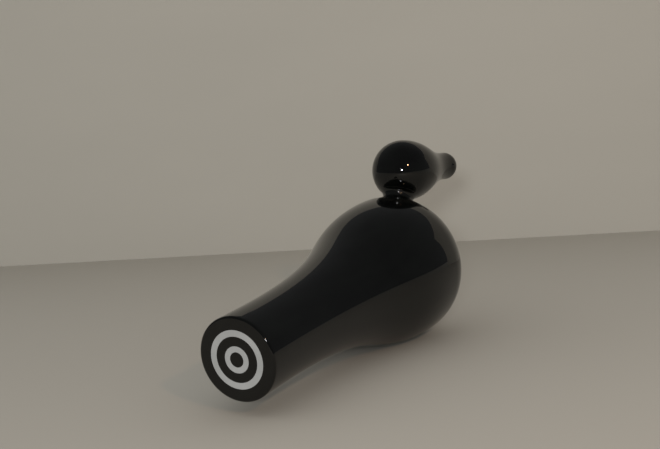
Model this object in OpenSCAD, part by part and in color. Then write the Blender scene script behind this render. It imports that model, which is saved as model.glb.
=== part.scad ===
// Glass bird figurine: a hot-cased, hollow body drawn out into a thick tail,
// with a ball head and a short beak welded on top. The tail end is cut and
// polished square, so that the cased layers show there as rings.
// Millimetres. +X is the way the bird faces, +Z is up, and the origin is on
// the small flat under the belly that the bird rests on.

/* [Body] */
// Radius of the body at its widest, which is the breast
breast_radius = 55; // [50:0.5:60]
// Radius of the tail at its cut end
tail_radius = 27.7; // [25:0.1:30]
// Length along the axis from the cut end to the widest place
tail_to_breast = 211.4; // [195:0.1:225]
// Length along the axis from the widest place to the front of the breast
breast_length = 46.4; // [40:0.1:52]
// How far the tail's curve dips towards a waist
waist_dip = 1.4; // [0:0.1:4]
// Reach of the tail's straight run, which sets where the body starts to swell
tail_reach = 145; // [130:1:155]
// Reach of the breast's crown, which sets how soon the body is at full width
crown_reach = 62; // [50:1:70]
// Angle of the axis above the horizontal, rising towards the breast
axis_tilt = 4.3; // [3:0.1:5]
// Depth of the flat under the belly
flat_depth = 2; // [1.5:0.1:2.5]
// Radius of the polished edge around the cut end
rim_radius = 1.5; // [0.5:0.1:3]

/* [Cased layers] */
// Outer radius of the black core where it shows at the cut end
core_radius = 4.9; // [4:0.1:6]
// Outer radius of the inner white layer there
inner_white_radius = 8.7; // [7:0.1:10]
// Outer radius of the middle black layer there
middle_black_radius = 14.9; // [12:0.1:17]
// Outer radius of the outer white layer there
outer_white_radius = 19.1; // [18:0.1:22]
// Solid glass between the cut end and the air bubble
plug_length = 14; // [12:0.5:20]
// Solid glass between the air bubble and the front of the breast
breast_glass = 72; // [64:1:80]
// Wall around the air bubble, all layers together
wall = 4.5; // [4.2:0.1:6]

/* [Head] */
// Radius of the ball head
head_radius = 23.9; // [23:0.1:25]
// Place of the head's centre along the body's axis, from the cut end
head_along = 247.7; // [246:0.1:250]
// Height of the head's centre above the body's axis
head_above = 68.8; // [68:0.1:70]
// Turn of the head to the bird's right
head_turn = 10; // [0:1:15]
// Dip of the beak below the horizontal
beak_dip = 3; // [0:0.5:6]
// Radius of the beak
beak_radius = 11; // [9:0.1:12]
// Length from the head's centre to where the beak is at its slimmest
beak_reach = 53.5; // [48:0.5:56]
// Straight length of the beak before its round tip
beak_straight = 2.5; // [1:0.1:6]

/* [Neck] */
// Radius of the welded neck at its narrowest
neck_radius = 11.2; // [10.8:0.1:11.6]
// Radius of the hollow around the neck
neck_hollow = 4.65; // [4.6:0.05:4.8]

/* [Hidden] */
$fn = 96;
body_length = tail_to_breast + breast_length;
tail_steps = 30;
nose_steps = 14;
rim_steps = 5;
// Power with which the bubble falls behind the skin towards the breast
trail_power = 4;
// Power that sets how blunt the bubble's two ends are
bubble_bluntness = 8;
bubble_end = body_length - breast_glass;
core_share = core_radius / tail_radius;
inner_white_share = inner_white_radius / tail_radius;
middle_black_share = middle_black_radius / tail_radius;
outer_white_share = outer_white_radius / tail_radius;
black_glass = [0.05, 0.05, 0.05];
white_glass = [0.92, 0.92, 0.9];

function mix(a, b, share) = a + (b - a) * share;

function reversed(list) = [for (i = [len(list) - 1:-1:0]) list[i]];

function bezier(a, b, c, d, t) =
    a * pow(1 - t, 3) + b * 3 * t * pow(1 - t, 2) + c * 3 * t * t * (1 - t) + d * pow(t, 3);

// Every profile point is [distance from the axis, distance along it].
skin = concat(
    [[tail_radius, 0]],
    [for (i = [0:tail_steps])
        bezier([tail_radius, plug_length], [tail_radius - waist_dip, plug_length + tail_reach],
            [breast_radius, tail_to_breast - crown_reach], [breast_radius, tail_to_breast],
            i / tail_steps)],
    [for (i = [1:nose_steps])
        let (turn = 90 * i / nose_steps)
            [i == nose_steps ? 0 : breast_radius * cos(turn),
                tail_to_breast + breast_length * sin(turn)]]
);

// The skin's radius at a place along the axis
skin_by_place = [for (p = skin) [p[1], p[0]]];
function skin_radius(along) = lookup(along, skin_by_place);

// The bubble's surface, point for point with the skin. Before the bubble
// starts, its points lie on the axis.
function bubble_radius(along) =
    along <= plug_length || along >= bubble_end ? 0 :
    let (across = 2 * (along - plug_length) / (bubble_end - plug_length) - 1)
        (skin_radius(along) - wall) * sqrt(1 - pow(abs(across), bubble_bluntness));
bubble = [for (p = skin)
    let (along = p[1] - breast_glass * pow(p[1] / body_length, trail_power))
        [bubble_radius(along), along]];

// The surface that lies at one share of the way from the bubble to the skin
function layer_surface(share) = [for (i = [0:len(skin) - 1]) mix(bubble[i], skin[i], share)];

// Where the belly is lowest: the place along the axis and the depth below it
function drop(p) = p[1] * sin(axis_tilt) - p[0] * cos(axis_tilt);
lowest = min([for (p = skin) drop(p)]);
belly_point = [for (p = skin) if (drop(p) == lowest) p][0];
belly_x = belly_point[1] * cos(axis_tilt) + belly_point[0] * sin(axis_tilt);
axis_height = -lowest - flat_depth;

head_x = head_along * cos(axis_tilt) - head_above * sin(axis_tilt) - belly_x;
head_z = axis_height + head_along * sin(axis_tilt) + head_above * cos(axis_tilt);

// Outline of the head and the beak along the beak's axis. The two shares say
// how far along the ball's fullness and the beak's slimness reach.
head_fullness = 0.41;
beak_slimness = 0.6;
head_steps = 16;
throat_steps = 20;
// Step of the throat's curve at which the black head ends and the beak starts
beak_root = 8;
head_curve = [for (i = [0:head_steps])
    let (turn = 90 * i / head_steps)
        [i == 0 ? 0 : head_radius * sin(turn), -head_radius * cos(turn)]];
throat_curve = [for (i = [0:throat_steps])
    bezier([head_radius, 0], [head_radius, beak_reach * head_fullness],
        [beak_radius, beak_reach * beak_slimness], [beak_radius, beak_reach],
        i / throat_steps)];
beak_tip = beak_reach + beak_straight;
tip_steps = 10;
tip_curve = [for (i = [0:tip_steps])
    let (turn = 90 * i / tip_steps)
        [i == tip_steps ? 0 : beak_radius * cos(turn), beak_tip + beak_radius * sin(turn)]];

// Turn on the breast's ellipse whose normal points at the head's centre
neck_turn = 29.1;
neck_foot = [breast_radius * cos(neck_turn), tail_to_breast + breast_length * sin(neck_turn)];
neck_lean = atan2(head_along - neck_foot[1], head_above - neck_foot[0]);
// Heights along the neck's own axis from the skin: its narrowest place, how
// deep its foot is sunk in the body, and how far its top reaches into the head
neck_middle = 1.75;
neck_root = 6;
neck_top = 12;
// Turn at which the hollow's arc has gone into the glass on either side
hollow_turn = 72;
hollow_steps = 8;

// Places what is drawn along +Z on the body's tilted axis
module on_body_axis() {
    translate([-belly_x, 0, axis_height])
        rotate([0, 90 - axis_tilt, 0])
            children();
}

// Places what is drawn along +Z on the beak's axis, from the head's centre
module on_beak_axis() {
    translate([head_x, 0, head_z])
        rotate([0, 90 + beak_dip, -head_turn])
            children();
}

module cased_layer(inner_share, outer_share) {
    on_body_axis()
        rotate_extrude()
            polygon(concat(layer_surface(outer_share), reversed(layer_surface(inner_share))));
}

module body_envelope() {
    on_body_axis()
        rotate_extrude()
            polygon(concat([[0, 0]], skin));
}

module head_envelope() {
    on_beak_axis()
        rotate_extrude()
            polygon(concat(head_curve, [for (i = [1:beak_root]) throat_curve[i]],
                [[0, throat_curve[beak_root][1]]]));
}

// Outer black glass, with the polished rim and the flat under the belly
module body_casing() {
    rim = [for (i = [0:rim_steps])
        let (turn = 90 * i / rim_steps)
            [tail_radius - rim_radius * (1 - sin(turn)), rim_radius * (1 - cos(turn))]];
    side = [for (p = skin) if (p[1] > rim_radius) p];
    color(black_glass)
        difference() {
            on_body_axis()
                rotate_extrude()
                    polygon(concat(rim, side, reversed(layer_surface(outer_white_share))));
            // Everything below the flat
            translate([-body_length, -breast_radius, -breast_radius])
                cube([2 * body_length, 2 * breast_radius, breast_radius]);
        }
}

module outer_white_layer() {
    color(white_glass)
        cased_layer(middle_black_share, outer_white_share);
}

module middle_black_layer() {
    color(black_glass)
        cased_layer(inner_white_share, middle_black_share);
}

module inner_white_layer() {
    color(white_glass)
        cased_layer(core_share, inner_white_share);
}

// Innermost black glass, solid behind the cut end, around the sealed bubble
module black_core() {
    hollow = [for (p = bubble) if (p[0] > 0) p];
    color(black_glass)
        on_body_axis()
            rotate_extrude()
                polygon(concat(layer_surface(core_share), [[0, bubble_end]],
                    reversed(hollow), [[0, plug_length], [0, 0]]));
}

// Small waisted bead of glass that welds the head to the body
module neck_joint() {
    waist = [for (i = [-hollow_steps:hollow_steps])
        let (turn = hollow_turn * i / hollow_steps)
            [neck_radius + neck_hollow * (1 - cos(turn)), neck_middle + neck_hollow * sin(turn)]];
    root_radius = waist[0][0];
    color(black_glass)
        difference() {
            on_body_axis()
                translate([-neck_foot[0], 0, neck_foot[1]])
                    rotate([0, -90 + neck_lean, 0])
                        rotate_extrude()
                            polygon(concat([[0, -neck_root], [root_radius, -neck_root]],
                                waist, [[root_radius, neck_top], [0, neck_top]]));
            body_envelope();
            head_envelope();
        }
}

module head() {
    color(black_glass)
        head_envelope();
}

module beak() {
    color(black_glass)
        on_beak_axis()
            rotate_extrude()
                polygon(concat([[0, throat_curve[beak_root][1]]],
                    [for (i = [beak_root:throat_steps]) throat_curve[i]], tip_curve));
}

body_casing();
outer_white_layer();
middle_black_layer();
inner_white_layer();
black_core();
neck_joint();
head();
beak();
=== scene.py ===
"""Looks of the glass bird figurine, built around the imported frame. Metres, +X the way the bird faces."""
import math

import bmesh
import bpy
from mathutils import Euler, Matrix, Vector, noise


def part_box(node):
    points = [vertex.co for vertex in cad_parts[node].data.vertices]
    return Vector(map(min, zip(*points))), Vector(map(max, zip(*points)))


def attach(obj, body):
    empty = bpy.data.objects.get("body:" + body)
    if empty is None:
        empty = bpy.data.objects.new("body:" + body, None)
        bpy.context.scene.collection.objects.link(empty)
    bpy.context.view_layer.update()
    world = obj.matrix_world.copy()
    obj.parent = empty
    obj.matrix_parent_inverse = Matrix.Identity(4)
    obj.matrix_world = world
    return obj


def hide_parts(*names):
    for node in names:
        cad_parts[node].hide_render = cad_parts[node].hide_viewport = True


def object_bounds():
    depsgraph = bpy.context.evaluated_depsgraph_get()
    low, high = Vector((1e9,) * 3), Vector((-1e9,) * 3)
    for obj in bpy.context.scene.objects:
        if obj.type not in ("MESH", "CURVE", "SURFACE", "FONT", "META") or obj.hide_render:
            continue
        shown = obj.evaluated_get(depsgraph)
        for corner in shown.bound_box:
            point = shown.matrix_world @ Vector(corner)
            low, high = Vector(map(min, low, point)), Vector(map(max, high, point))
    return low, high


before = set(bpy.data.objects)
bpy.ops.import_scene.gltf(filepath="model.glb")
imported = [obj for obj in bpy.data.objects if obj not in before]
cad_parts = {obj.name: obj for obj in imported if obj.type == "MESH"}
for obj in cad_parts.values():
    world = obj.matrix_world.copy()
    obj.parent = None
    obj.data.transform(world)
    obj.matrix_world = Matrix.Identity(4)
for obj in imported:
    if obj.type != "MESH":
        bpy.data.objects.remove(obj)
CAD_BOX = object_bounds()
MM = 0.001

# Body, along its own axis from the cut end of the tail
BREAST_RADIUS = 55.0 * MM
TAIL_RADIUS = 27.7 * MM
TAIL_TO_BREAST = 211.4 * MM
BREAST_LENGTH = 46.4 * MM
BODY_LENGTH = TAIL_TO_BREAST + BREAST_LENGTH
PLUG_LENGTH = 14.0 * MM
WAIST_DIP = 1.4 * MM
TAIL_REACH = 145.0 * MM
CROWN_REACH = 62.0 * MM
AXIS_TILT = math.radians(4.3)
RIM_RADIUS = 1.5 * MM
BREAST_GLASS = 72.0 * MM
WALL = 4.5 * MM
TRAIL_POWER = 4
BUBBLE_BLUNTNESS = 8
# Radii of the rings on the cut end, from the core outwards
RING_RADII = {"black_core": 4.9 * MM, "inner_white_layer": 8.7 * MM,
              "middle_black_layer": 14.9 * MM, "outer_white_layer": 19.1 * MM}

# Head and beak, along the beak's axis from the head's centre
HEAD_RADIUS = 23.9 * MM
HEAD_ALONG = 247.7 * MM
HEAD_ABOVE = 68.8 * MM
HEAD_TURN = math.radians(10)
BEAK_DIP = math.radians(3)
BEAK_RADIUS = 11.0 * MM
BEAK_REACH = 53.5 * MM
BEAK_STRAIGHT = 2.5 * MM
# How far the ball's fullness and the beak's slimness reach along the throat,
# and the share of the throat's curve that belongs to the head
HEAD_FULLNESS = 0.41
BEAK_SLIMNESS = 0.6
BEAK_ROOT_SHARE = 0.4

# The welded neck: where its surface leaves the body and the head, and how
# far it is drawn in between them
NECK_TURN = math.radians(29.1)
NECK_FOOT_RADIUS = 15.6 * MM
NECK_HEAD_RADIUS = 14.6 * MM
NECK_PULL = 4.6 * MM
NECK_SINK = 1.2 * MM
NECK_STEPS_AROUND = 160
NECK_STEPS_UP = 28
# Step along a surface that gives the direction in which the fillet leaves it
NECK_PROBE = 1.5 * MM
# The search for the body's skin starts this deep in it, and ends this far on
FOOT_START = 12 * MM
FOOT_SEARCH = 24 * MM
HEAD_SEARCH = 40 * MM
# Ends of the neck's solid, inside the body and inside the head
NECK_BOTTOM = 2 * MM
NECK_TOP = 8 * MM

STEPS_AROUND = 224
LAYER_STEPS_AROUND = 96
HEAD_STEPS_AROUND = 192
# Hand-blown glass is never quite round: how far the skin may lie inside the
# true round, and how long its waves are
WAVE_DEPTH = 0.10 * MM
WAVE_LENGTH = 60 * MM
# The waves start this far from the cut end and from the neck's foot, and are
# full after the second length
TAIL_CALM = 20 * MM
TAIL_FADE = 60 * MM
NECK_CALM = 22 * MM
NECK_FADE = 30 * MM
# Softness of the flat's edge, and the low part of the skin that can meet it
FLAT_SOFTNESS = 0.12 * MM
FLAT_CEILING = 6 * MM
FLAT_FROM_TAIL = 60 * MM


def mix(a, b, share):
    return a + (b - a) * share


def bezier(points, t):
    a, b, c, d = points
    s = 1 - t
    return tuple(a[k] * s ** 3 + 3 * b[k] * t * s * s + 3 * c[k] * t * t * s + d[k] * t ** 3
                 for k in (0, 1))


def smooth_step(x):
    x = min(max(x, 0.0), 1.0)
    return x * x * (3 - 2 * x)


# ---- profiles: every point is (distance from the axis, distance along it)

def skin_profile(tail_steps=110, nose_steps=56):
    """The body's outer surface, from the cut end to the front of the breast."""
    swell = ((TAIL_RADIUS, PLUG_LENGTH), (TAIL_RADIUS - WAIST_DIP, PLUG_LENGTH + TAIL_REACH),
             (BREAST_RADIUS, TAIL_TO_BREAST - CROWN_REACH), (BREAST_RADIUS, TAIL_TO_BREAST))
    points = [(TAIL_RADIUS, 0.0)]
    points += [(TAIL_RADIUS, PLUG_LENGTH * k / 8) for k in range(2, 8)]
    points += [bezier(swell, k / tail_steps) for k in range(tail_steps + 1)]
    for k in range(1, nose_steps + 1):
        turn = math.pi / 2 * k / nose_steps
        points.append((BREAST_RADIUS * math.cos(turn) if k < nose_steps else 0.0,
                       TAIL_TO_BREAST + BREAST_LENGTH * math.sin(turn)))
    return points


SKIN = skin_profile()
BUBBLE_END = BODY_LENGTH - BREAST_GLASS


def skin_radius(along):
    for (r0, s0), (r1, s1) in zip(SKIN, SKIN[1:]):
        if s0 <= along <= s1 and s1 > s0:
            return mix(r0, r1, (along - s0) / (s1 - s0))
    return 0.0


def bubble_point(skin_point):
    along = skin_point[1] - BREAST_GLASS * (skin_point[1] / BODY_LENGTH) ** TRAIL_POWER
    if along <= PLUG_LENGTH or along >= BUBBLE_END:
        return (0.0, along)
    across = 2 * (along - PLUG_LENGTH) / (BUBBLE_END - PLUG_LENGTH) - 1
    blunt = math.sqrt(max(0.0, 1 - abs(across) ** BUBBLE_BLUNTNESS))
    return ((skin_radius(along) - WALL) * blunt, along)


BUBBLE = [bubble_point(p) for p in SKIN]


def layer_surface(radius):
    """The surface of a cased layer, named by its radius where it shows at the cut end."""
    share = radius / TAIL_RADIUS
    return [(mix(b[0], p[0], share), mix(b[1], p[1], share)) for b, p in zip(BUBBLE, SKIN)]


def rim_profile(steps=8):
    turns = [math.pi / 2 * k / steps for k in range(steps + 1)]
    return [(TAIL_RADIUS - RIM_RADIUS * (1 - math.sin(t)), RIM_RADIUS * (1 - math.cos(t)))
            for t in turns]


def head_profile(back_steps=64, throat_steps=80, tip_steps=32):
    """The head and the beak in one, from the back of the head to the beak's tip."""
    throat = ((HEAD_RADIUS, 0.0), (HEAD_RADIUS, BEAK_REACH * HEAD_FULLNESS),
              (BEAK_RADIUS, BEAK_REACH * BEAK_SLIMNESS), (BEAK_RADIUS, BEAK_REACH))
    points = []
    for k in range(back_steps):
        turn = math.pi / 2 * k / back_steps
        points.append((HEAD_RADIUS * math.sin(turn), -HEAD_RADIUS * math.cos(turn)))
    points += [bezier(throat, k / throat_steps) for k in range(throat_steps + 1)]
    root = back_steps + round(throat_steps * BEAK_ROOT_SHARE)
    for k in range(tip_steps + 1):
        turn = math.pi / 2 * k / tip_steps
        points.append((BEAK_RADIUS * math.cos(turn) if k < tip_steps else 0.0,
                       BEAK_REACH + BEAK_STRAIGHT + BEAK_RADIUS * math.sin(turn)))
    return points, root


# ---- places

def tilted(radius, along, turn):
    """A point of the body about its tilted axis, before the body is set on its flat."""
    side, up = radius * math.sin(turn), radius * math.cos(turn)
    c, s = math.cos(AXIS_TILT), math.sin(AXIS_TILT)
    return Vector((along * c - up * s, side, along * s + up * c))


def body_offset():
    """Moves the tilted body so that its top and its cut end meet the casing's own box."""
    low, high = map(Vector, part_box("body_casing"))
    tops = [tilted(r, s, 0.0) for r, s in SKIN]
    ends = [tilted(r, s, 0.0) for r, s in rim_profile()]
    return Vector((low.x - min(p.x for p in ends), 0.0, high.z - max(p.z for p in tops)))


OFFSET = body_offset()


def on_body(radius, along, turn):
    return tilted(radius, along, turn) + OFFSET


HEAD_CENTRE = on_body(HEAD_ABOVE, HEAD_ALONG, 0.0)
HEAD_SPIN = Euler((0.0, math.pi / 2 + BEAK_DIP, -HEAD_TURN)).to_matrix()


def on_head(radius, along, turn):
    local = Vector((radius * math.cos(turn), radius * math.sin(turn), along))
    return HEAD_CENTRE + HEAD_SPIN @ local


# ---- meshes

def smooth_object(name, points, faces, sharp_angle=35):
    mesh = bpy.data.meshes.new(name)
    mesh.from_pydata([tuple(p) for p in points], [], faces)
    mesh.validate()
    mesh.polygons.foreach_set("use_smooth", [True] * len(mesh.polygons))
    mesh.set_sharp_from_angle(angle=math.radians(sharp_angle))
    piece = bpy.data.objects.new(name, mesh)
    bpy.context.collection.objects.link(piece)
    return piece


def revolved(name, outline, place, around=STEPS_AROUND, closed=False, reshape=None):
    """A closed solid of revolution. The outline starts and ends on the axis, or is closed on itself."""
    points, rings = [], []
    for radius, along in outline:
        if radius < 1e-9:
            rings.append([len(points)])
            points.append(place(0.0, along, 0.0))
            continue
        rings.append(list(range(len(points), len(points) + around)))
        points += [place(radius, along, 2 * math.pi * k / around) for k in range(around)]
    if reshape:
        points = [reshape(p) for p in points]
    faces = []
    pairs = list(zip(rings, rings[1:]))
    if closed:
        pairs.append((rings[-1], rings[0]))
    for a, b in pairs:
        for k in range(around):
            n = (k + 1) % around
            if len(a) == 1 and len(b) == 1:
                break
            if len(a) == 1:
                faces.append((a[0], b[k], b[n]))
            elif len(b) == 1:
                faces.append((a[k], b[0], a[n]))
            else:
                faces.append((a[k], b[k], b[n], a[n]))
    piece = smooth_object(name, points, faces)
    make_outward(piece)
    return piece


def make_outward(piece):
    """Turns the faces outwards if the closed mesh's volume comes out negative."""
    shape = bmesh.new()
    shape.from_mesh(piece.data)
    if shape.calc_volume(signed=True) < 0:
        bmesh.ops.reverse_faces(shape, faces=shape.faces)
        shape.to_mesh(piece.data)
    shape.free()


def hand_blown(p):
    """The slow waves of hand-blown glass, always inwards, fading out towards the cut end and the neck."""
    along = p.x - CAD_BOX[0].x
    fade = smooth_step((along - TAIL_CALM) / TAIL_FADE)
    fade *= smooth_step(((p - NECK_FOOT).length - NECK_CALM) / NECK_FADE)
    depth = WAVE_DEPTH * fade * (0.5 + 0.5 * noise.noise(p / WAVE_LENGTH))
    middle = on_body(0.0, min(max(along, 0.0), TAIL_TO_BREAST), 0.0)
    inwards = (middle - p).normalized()
    return p + inwards * depth


def set_on_flat(p):
    """Presses the belly onto the floor in a flat with a soft edge."""
    q = hand_blown(p)
    if q.z < FLAT_CEILING and q.x > CAD_BOX[0].x + FLAT_FROM_TAIL:
        q.z = 0.5 * (q.z + math.sqrt(q.z * q.z + FLAT_SOFTNESS * FLAT_SOFTNESS))
    return q


NECK_FOOT = on_body(BREAST_RADIUS * math.cos(NECK_TURN),
                    TAIL_TO_BREAST + BREAST_LENGTH * math.sin(NECK_TURN), 0.0)
NECK_AXIS = (HEAD_CENTRE - NECK_FOOT).normalized()


def body_depth(p):
    """Below zero inside the front of the body, above zero outside it."""
    c, s = math.cos(AXIS_TILT), math.sin(AXIS_TILT)
    q = p - OFFSET
    along, above = q.x * c + q.z * s, -q.x * s + q.z * c
    radius = math.hypot(above, q.y)
    if along >= TAIL_TO_BREAST:
        return ((along - TAIL_TO_BREAST) / BREAST_LENGTH) ** 2 + (radius / BREAST_RADIUS) ** 2 - 1
    return radius / skin_radius(max(along, 0.0)) - 1


HEAD_OUTLINE, BEAK_ROOT = head_profile()


def head_depth(p):
    """Below zero inside the head or the beak, above zero outside them."""
    q = HEAD_SPIN.transposed() @ (p - HEAD_CENTRE)
    radius = math.hypot(q.x, q.y)
    if q.z <= 0:
        return q.length / HEAD_RADIUS - 1
    for (r0, s0), (r1, s1) in zip(HEAD_OUTLINE, HEAD_OUTLINE[1:]):
        if s0 <= q.z <= s1 and s1 > s0:
            return radius / mix(r0, r1, (q.z - s0) / (s1 - s0)) - 1
    return 1.0


def surface_along(start, direction, depth, reach):
    """Where a line that starts inside the glass comes out of it."""
    low, high = 0.0, reach
    for _ in range(48):
        middle = (low + high) / 2
        if depth(start + direction * middle) < 0:
            low = middle
        else:
            high = middle
    return start + direction * low


def make_neck():
    """A fillet that leaves the body and the head along their own surfaces."""
    side = NECK_AXIS.orthogonal().normalized()
    other = NECK_AXIS.cross(side)
    around, steps, probe = NECK_STEPS_AROUND, NECK_STEPS_UP, NECK_PROBE
    columns = []
    for k in range(around):
        turn = 2 * math.pi * k / around
        out = side * math.cos(turn) + other * math.sin(turn)

        def foot_at(radius):
            start = NECK_FOOT - NECK_AXIS * FOOT_START + out * radius
            return surface_along(start, NECK_AXIS, body_depth, FOOT_SEARCH)

        def head_at(radius):
            start = HEAD_CENTRE + out * radius
            return surface_along(start, -NECK_AXIS, head_depth, HEAD_SEARCH)

        foot, top = foot_at(NECK_FOOT_RADIUS), head_at(NECK_HEAD_RADIUS)
        foot_in = (foot_at(NECK_FOOT_RADIUS - probe) - foot).normalized()
        top_in = (head_at(NECK_HEAD_RADIUS - probe) - top).normalized()
        column = [foot - NECK_AXIS * NECK_SINK]
        a, b, c, d = foot, foot + foot_in * NECK_PULL, top + top_in * NECK_PULL, top
        for n in range(steps + 1):
            t = n / steps
            s = 1 - t
            column.append(a * s ** 3 + b * 3 * t * s * s + c * 3 * t * t * s + d * t ** 3)
        column.append(top + NECK_AXIS * NECK_SINK)
        columns.append(column)
    rows = len(columns[0])
    points = [p for column in columns for p in column]
    faces = []
    for k in range(around):
        n = (k + 1) % around
        for r in range(rows - 1):
            faces.append((k * rows + r, n * rows + r, n * rows + r + 1, k * rows + r + 1))
    bottom, top = len(points), len(points) + 1
    points.append(NECK_FOOT - NECK_AXIS * (NECK_SINK + NECK_BOTTOM))
    points.append(NECK_FOOT + NECK_AXIS * NECK_TOP)
    for k in range(around):
        n = (k + 1) % around
        faces.append((bottom, n * rows, k * rows))
        faces.append((top, k * rows + rows - 1, n * rows + rows - 1))
    piece = smooth_object("neck_glass", points, faces, sharp_angle=60)
    make_outward(piece)
    return piece


# ---- materials

GLASS_IOR = 1.45
BLACK_TONES = (0.0008, 0.0009, 0.0008), (0.0022, 0.0026, 0.0022)
WHITE_TONES = (0.34, 0.35, 0.345), (0.39, 0.40, 0.395)
# Lowest and highest roughness of the polish
BLACK_POLISH = (0.015, 0.045)
WHITE_POLISH = (0.05, 0.12)
# Streaks run along the bird: noise size along X, and across it
STREAK_STRETCH = (9.0, 26.0, 26.0)
RIPPLE_HEIGHT = 0.04 * MM
FLOOR_COLOUR = (0.375, 0.352, 0.305)
WALL_COLOUR = (0.455, 0.437, 0.386)
STAGE_ROUGHNESS = 0.9


def glass_material(name, deep, light, roughness):
    """Opaque hot-worked glass: two close tones in streaks, with faint waves in the polish."""
    material = bpy.data.materials.new(name)
    material.use_nodes = True
    nodes, links = material.node_tree.nodes, material.node_tree.links
    shader = nodes["Principled BSDF"]
    shader.inputs["IOR"].default_value = GLASS_IOR
    place = nodes.new("ShaderNodeTexCoord")
    stretch = nodes.new("ShaderNodeMapping")
    stretch.inputs["Scale"].default_value = STREAK_STRETCH
    links.new(place.outputs["Object"], stretch.inputs["Vector"])
    streaks = nodes.new("ShaderNodeTexNoise")
    streaks.inputs["Scale"].default_value = 3.0
    streaks.inputs["Detail"].default_value = 5.0
    links.new(stretch.outputs["Vector"], streaks.inputs["Vector"])
    tone = nodes.new("ShaderNodeValToRGB")
    tone.color_ramp.elements[0].position = 0.35
    tone.color_ramp.elements[0].color = (*deep, 1)
    tone.color_ramp.elements[1].position = 0.7
    tone.color_ramp.elements[1].color = (*light, 1)
    links.new(streaks.outputs["Fac"], tone.inputs["Fac"])
    links.new(tone.outputs["Color"], shader.inputs["Base Color"])
    smears = nodes.new("ShaderNodeTexNoise")
    smears.inputs["Scale"].default_value = 38.0
    smears.inputs["Detail"].default_value = 8.0
    links.new(place.outputs["Object"], smears.inputs["Vector"])
    polish = nodes.new("ShaderNodeMapRange")
    polish.inputs["From Min"].default_value = 0.35
    polish.inputs["From Max"].default_value = 0.75
    polish.inputs["To Min"].default_value = roughness[0]
    polish.inputs["To Max"].default_value = roughness[1]
    links.new(smears.outputs["Fac"], polish.inputs["Value"])
    links.new(polish.outputs["Result"], shader.inputs["Roughness"])
    ripple = nodes.new("ShaderNodeTexNoise")
    ripple.inputs["Scale"].default_value = 55.0
    ripple.inputs["Detail"].default_value = 1.0
    links.new(place.outputs["Object"], ripple.inputs["Vector"])
    bump = nodes.new("ShaderNodeBump")
    bump.inputs["Strength"].default_value = 0.35
    bump.inputs["Distance"].default_value = RIPPLE_HEIGHT
    links.new(ripple.outputs["Fac"], bump.inputs["Height"])
    links.new(bump.outputs["Normal"], shader.inputs["Normal"])
    return material


def plain_material(name, colour, roughness):
    """A matt stage material with a faint mottle."""
    material = bpy.data.materials.new(name)
    material.use_nodes = True
    nodes, links = material.node_tree.nodes, material.node_tree.links
    shader = nodes["Principled BSDF"]
    shader.inputs["Roughness"].default_value = roughness
    shader.inputs["Specular IOR Level"].default_value = 0.1
    grain = nodes.new("ShaderNodeTexNoise")
    grain.inputs["Scale"].default_value = 6.0
    tone = nodes.new("ShaderNodeValToRGB")
    tone.color_ramp.elements[0].color = (*[0.97 * c for c in colour], 1)
    tone.color_ramp.elements[1].color = (*[min(1.0, 1.03 * c) for c in colour], 1)
    links.new(grain.outputs["Fac"], tone.inputs["Fac"])
    links.new(tone.outputs["Color"], shader.inputs["Base Color"])
    return material


def see_through_from_behind(material):
    """The sheet shows only its front, so that it never hides the bird."""
    nodes, links = material.node_tree.nodes, material.node_tree.links
    clear = nodes.new("ShaderNodeBsdfTransparent")
    side = nodes.new("ShaderNodeNewGeometry")
    choose = nodes.new("ShaderNodeMixShader")
    links.new(side.outputs["Backfacing"], choose.inputs["Fac"])
    links.new(nodes["Principled BSDF"].outputs["BSDF"], choose.inputs[1])
    links.new(clear.outputs["BSDF"], choose.inputs[2])
    links.new(choose.outputs["Shader"], nodes["Material Output"].inputs["Surface"])


BLACK = glass_material("black_glass_look", *BLACK_TONES, BLACK_POLISH)
WHITE = glass_material("white_glass_look", *WHITE_TONES, WHITE_POLISH)


def finish_piece(piece, slot, material, *nodes):
    piece.data.materials.append(material)
    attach(piece, "root")
    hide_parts(*nodes)


# ---- the bird

def make_layers():
    names = list(RING_RADII)
    for k, name in enumerate(names):
        outer = layer_surface(RING_RADII[name])
        material, slot = (WHITE, "white_glass") if "white" in name else (BLACK, "black_glass")
        if k == 0:
            hollow = [p for p in BUBBLE if p[0] > 0]
            outline = [(0.0, 0.0)] + outer + [(0.0, BUBBLE_END)] + hollow[::-1]
            outline.append((0.0, PLUG_LENGTH))
            piece = revolved(name + "_glass", outline, on_body, around=LAYER_STEPS_AROUND)
        else:
            inner = layer_surface(RING_RADII[names[k - 1]])
            outline = outer[:-1] + [(0.0, outer[-1][1]), (0.0, inner[-1][1])] + inner[:-1][::-1]
            piece = revolved(name + "_glass", outline, on_body, around=LAYER_STEPS_AROUND,
                             closed=True)
        finish_piece(piece, slot, material, name)


def make_casing():
    inner = layer_surface(RING_RADII["outer_white_layer"])
    side = [p for p in SKIN if p[1] > RIM_RADIUS + 0.1 * MM]
    outline = rim_profile() + side[:-1] + [(0.0, BODY_LENGTH), (0.0, inner[-1][1])]
    outline += inner[:-1][::-1]
    piece = revolved("body_glass", outline, on_body, closed=True, reshape=set_on_flat)
    finish_piece(piece, "black_glass", BLACK, "body_casing")


def make_head():
    root_along = HEAD_OUTLINE[BEAK_ROOT][1]
    head = revolved("head_glass", HEAD_OUTLINE[:BEAK_ROOT + 1] + [(0.0, root_along)], on_head,
                    around=HEAD_STEPS_AROUND)
    beak = revolved("beak_glass", [(0.0, root_along)] + HEAD_OUTLINE[BEAK_ROOT:], on_head,
                    around=HEAD_STEPS_AROUND)
    finish_piece(head, "black_glass", BLACK, "head")
    finish_piece(beak, "black_glass", BLACK, "beak")


make_layers()
make_casing()
make_head()
finish_piece(make_neck(), "black_glass", BLACK, "neck_joint")

# ---- stage, light and camera

TAIL_END = on_body(0.0, 0.0, 0.0)
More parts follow.
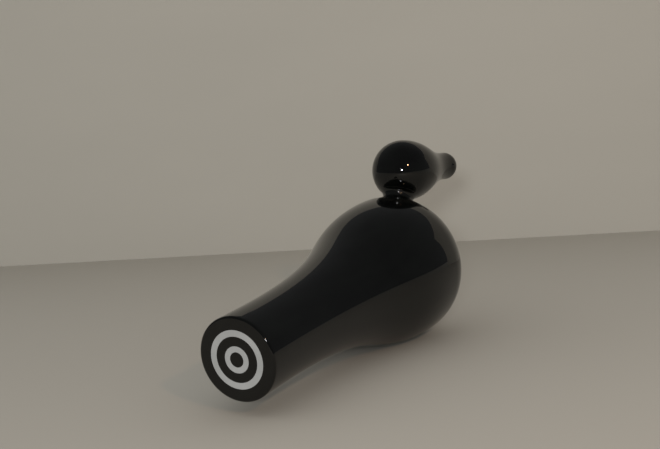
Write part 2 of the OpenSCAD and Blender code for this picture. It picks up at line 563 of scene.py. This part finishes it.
# The camera stands behind the tail's cut end, to its right and above it
CAMERA_FROM_TAIL = Vector((-0.5364, -0.3915, 0.1720))
VIEW_TURN = math.radians(30.66)
VIEW_PITCH = math.radians(-8.04)
VIEW_ROLL = math.radians(-4.53)
LENS = 60.7


def add_camera():
    camera = bpy.data.objects.new("camera", bpy.data.cameras.new("camera"))
    bpy.context.collection.objects.link(camera)
    camera.data.lens = LENS
    camera.data.sensor_width = 36.0
    camera.data.clip_start = 0.01
    camera.location = TAIL_END + CAMERA_FROM_TAIL
    look = Euler((math.pi / 2 + VIEW_PITCH, 0.0, VIEW_TURN - math.pi / 2)).to_matrix()
    camera.matrix_world = (Matrix.Translation(camera.location)
                           @ (look @ Matrix.Rotation(VIEW_ROLL, 3, "Z")).to_4x4())
    bpy.context.scene.camera = camera


def add_sheet(name, corners, material):
    mesh = bpy.data.meshes.new(name)
    mesh.from_pydata(corners, [], [(0, 1, 2, 3)])
    sheet = bpy.data.objects.new(name, mesh)
    bpy.context.collection.objects.link(sheet)
    mesh.materials.append(material)


# The wall behind the bird stands on a line through this place on the floor
WALL_PLACE = TAIL_END + Vector((0.566, 0.265, 0.0))
WALL_TURN = math.radians(-67.9)
WALL_HALF_LENGTH = 0.9
WALL_HEIGHT = 0.46
FLOOR_REACH = 4.0


def add_stage():
    reach = FLOOR_REACH
    floor = plain_material("floor_look", FLOOR_COLOUR, STAGE_ROUGHNESS)
    add_sheet("floor", [(-reach, -reach, 0), (reach, -reach, 0), (reach, reach, 0),
                        (-reach, reach, 0)], floor)
    wall = plain_material("wall_look", WALL_COLOUR, STAGE_ROUGHNESS)
    see_through_from_behind(wall)
    run = Vector((math.cos(WALL_TURN), math.sin(WALL_TURN), 0.0)) * WALL_HALF_LENGTH
    foot = Vector((WALL_PLACE.x, WALL_PLACE.y, 0.0))
    rise = Vector((0.0, 0.0, WALL_HEIGHT))
    add_sheet("wall", [foot - run, foot + run, foot + run + rise, foot - run + rise], wall)


# Azimuth and elevation of each lamp from the bird's head, in degrees
KEY_TOWARDS = (204.0, 9.0)
WARM_TOWARDS = (229.0, 25.0)


def add_lamp(name, towards, distance, size, power, colour):
    """A round lamp in a direction from the bird's head, facing it."""
    lamp = bpy.data.objects.new(name, bpy.data.lights.new(name, "AREA"))
    bpy.context.collection.objects.link(lamp)
    lamp.data.shape = "DISK"
    lamp.data.size = size
    lamp.data.energy = power
    lamp.data.color = colour
    azimuth, elevation = map(math.radians, towards)
    direction = Vector((math.cos(azimuth) * math.cos(elevation),
                        math.sin(azimuth) * math.cos(elevation), math.sin(elevation)))
    lamp.location = HEAD_CENTRE + direction * distance
    lamp.rotation_euler = direction.to_track_quat("Z", "Y").to_euler()


# The backdrop as it is seen, mirrored or looked through, and the soft light from all sides
BACKDROP = 0.11
SOFT_LIGHT = 0.76


def add_world():
    """An even soft light, with a plain backdrop that the gloss shows as well."""
    world = bpy.data.worlds.new("room")
    bpy.context.scene.world = world
    world.use_nodes = True
    nodes, links = world.node_tree.nodes, world.node_tree.links
    background = nodes["Background"]
    background.inputs["Color"].default_value = (0.98, 0.99, 1.0, 1)
    path = nodes.new("ShaderNodeLightPath")
    strength = nodes.new("ShaderNodeMapRange")
    strength.inputs["To Min"].default_value = SOFT_LIGHT
    strength.inputs["To Max"].default_value = BACKDROP
    direct = nodes.new("ShaderNodeMath")
    direct.operation = "MAXIMUM"
    shown = nodes.new("ShaderNodeMath")
    shown.operation = "MAXIMUM"
    links.new(path.outputs["Is Camera Ray"], direct.inputs[0])
    links.new(path.outputs["Is Glossy Ray"], direct.inputs[1])
    links.new(direct.outputs["Value"], shown.inputs[0])
    links.new(path.outputs["Is Transmission Ray"], shown.inputs[1])
    links.new(shown.outputs["Value"], strength.inputs["Value"])
    links.new(strength.outputs["Result"], background.inputs["Strength"])


add_camera()
add_stage()
add_lamp("key", KEY_TOWARDS, distance=1.2, size=0.08, power=3.6, colour=(0.95, 0.98, 1.0))
add_lamp("warm", WARM_TOWARDS, distance=1.4, size=0.05, power=2.4, colour=(1.0, 0.60, 0.35))
add_world()
bpy.context.scene.view_settings.view_transform = "Standard"
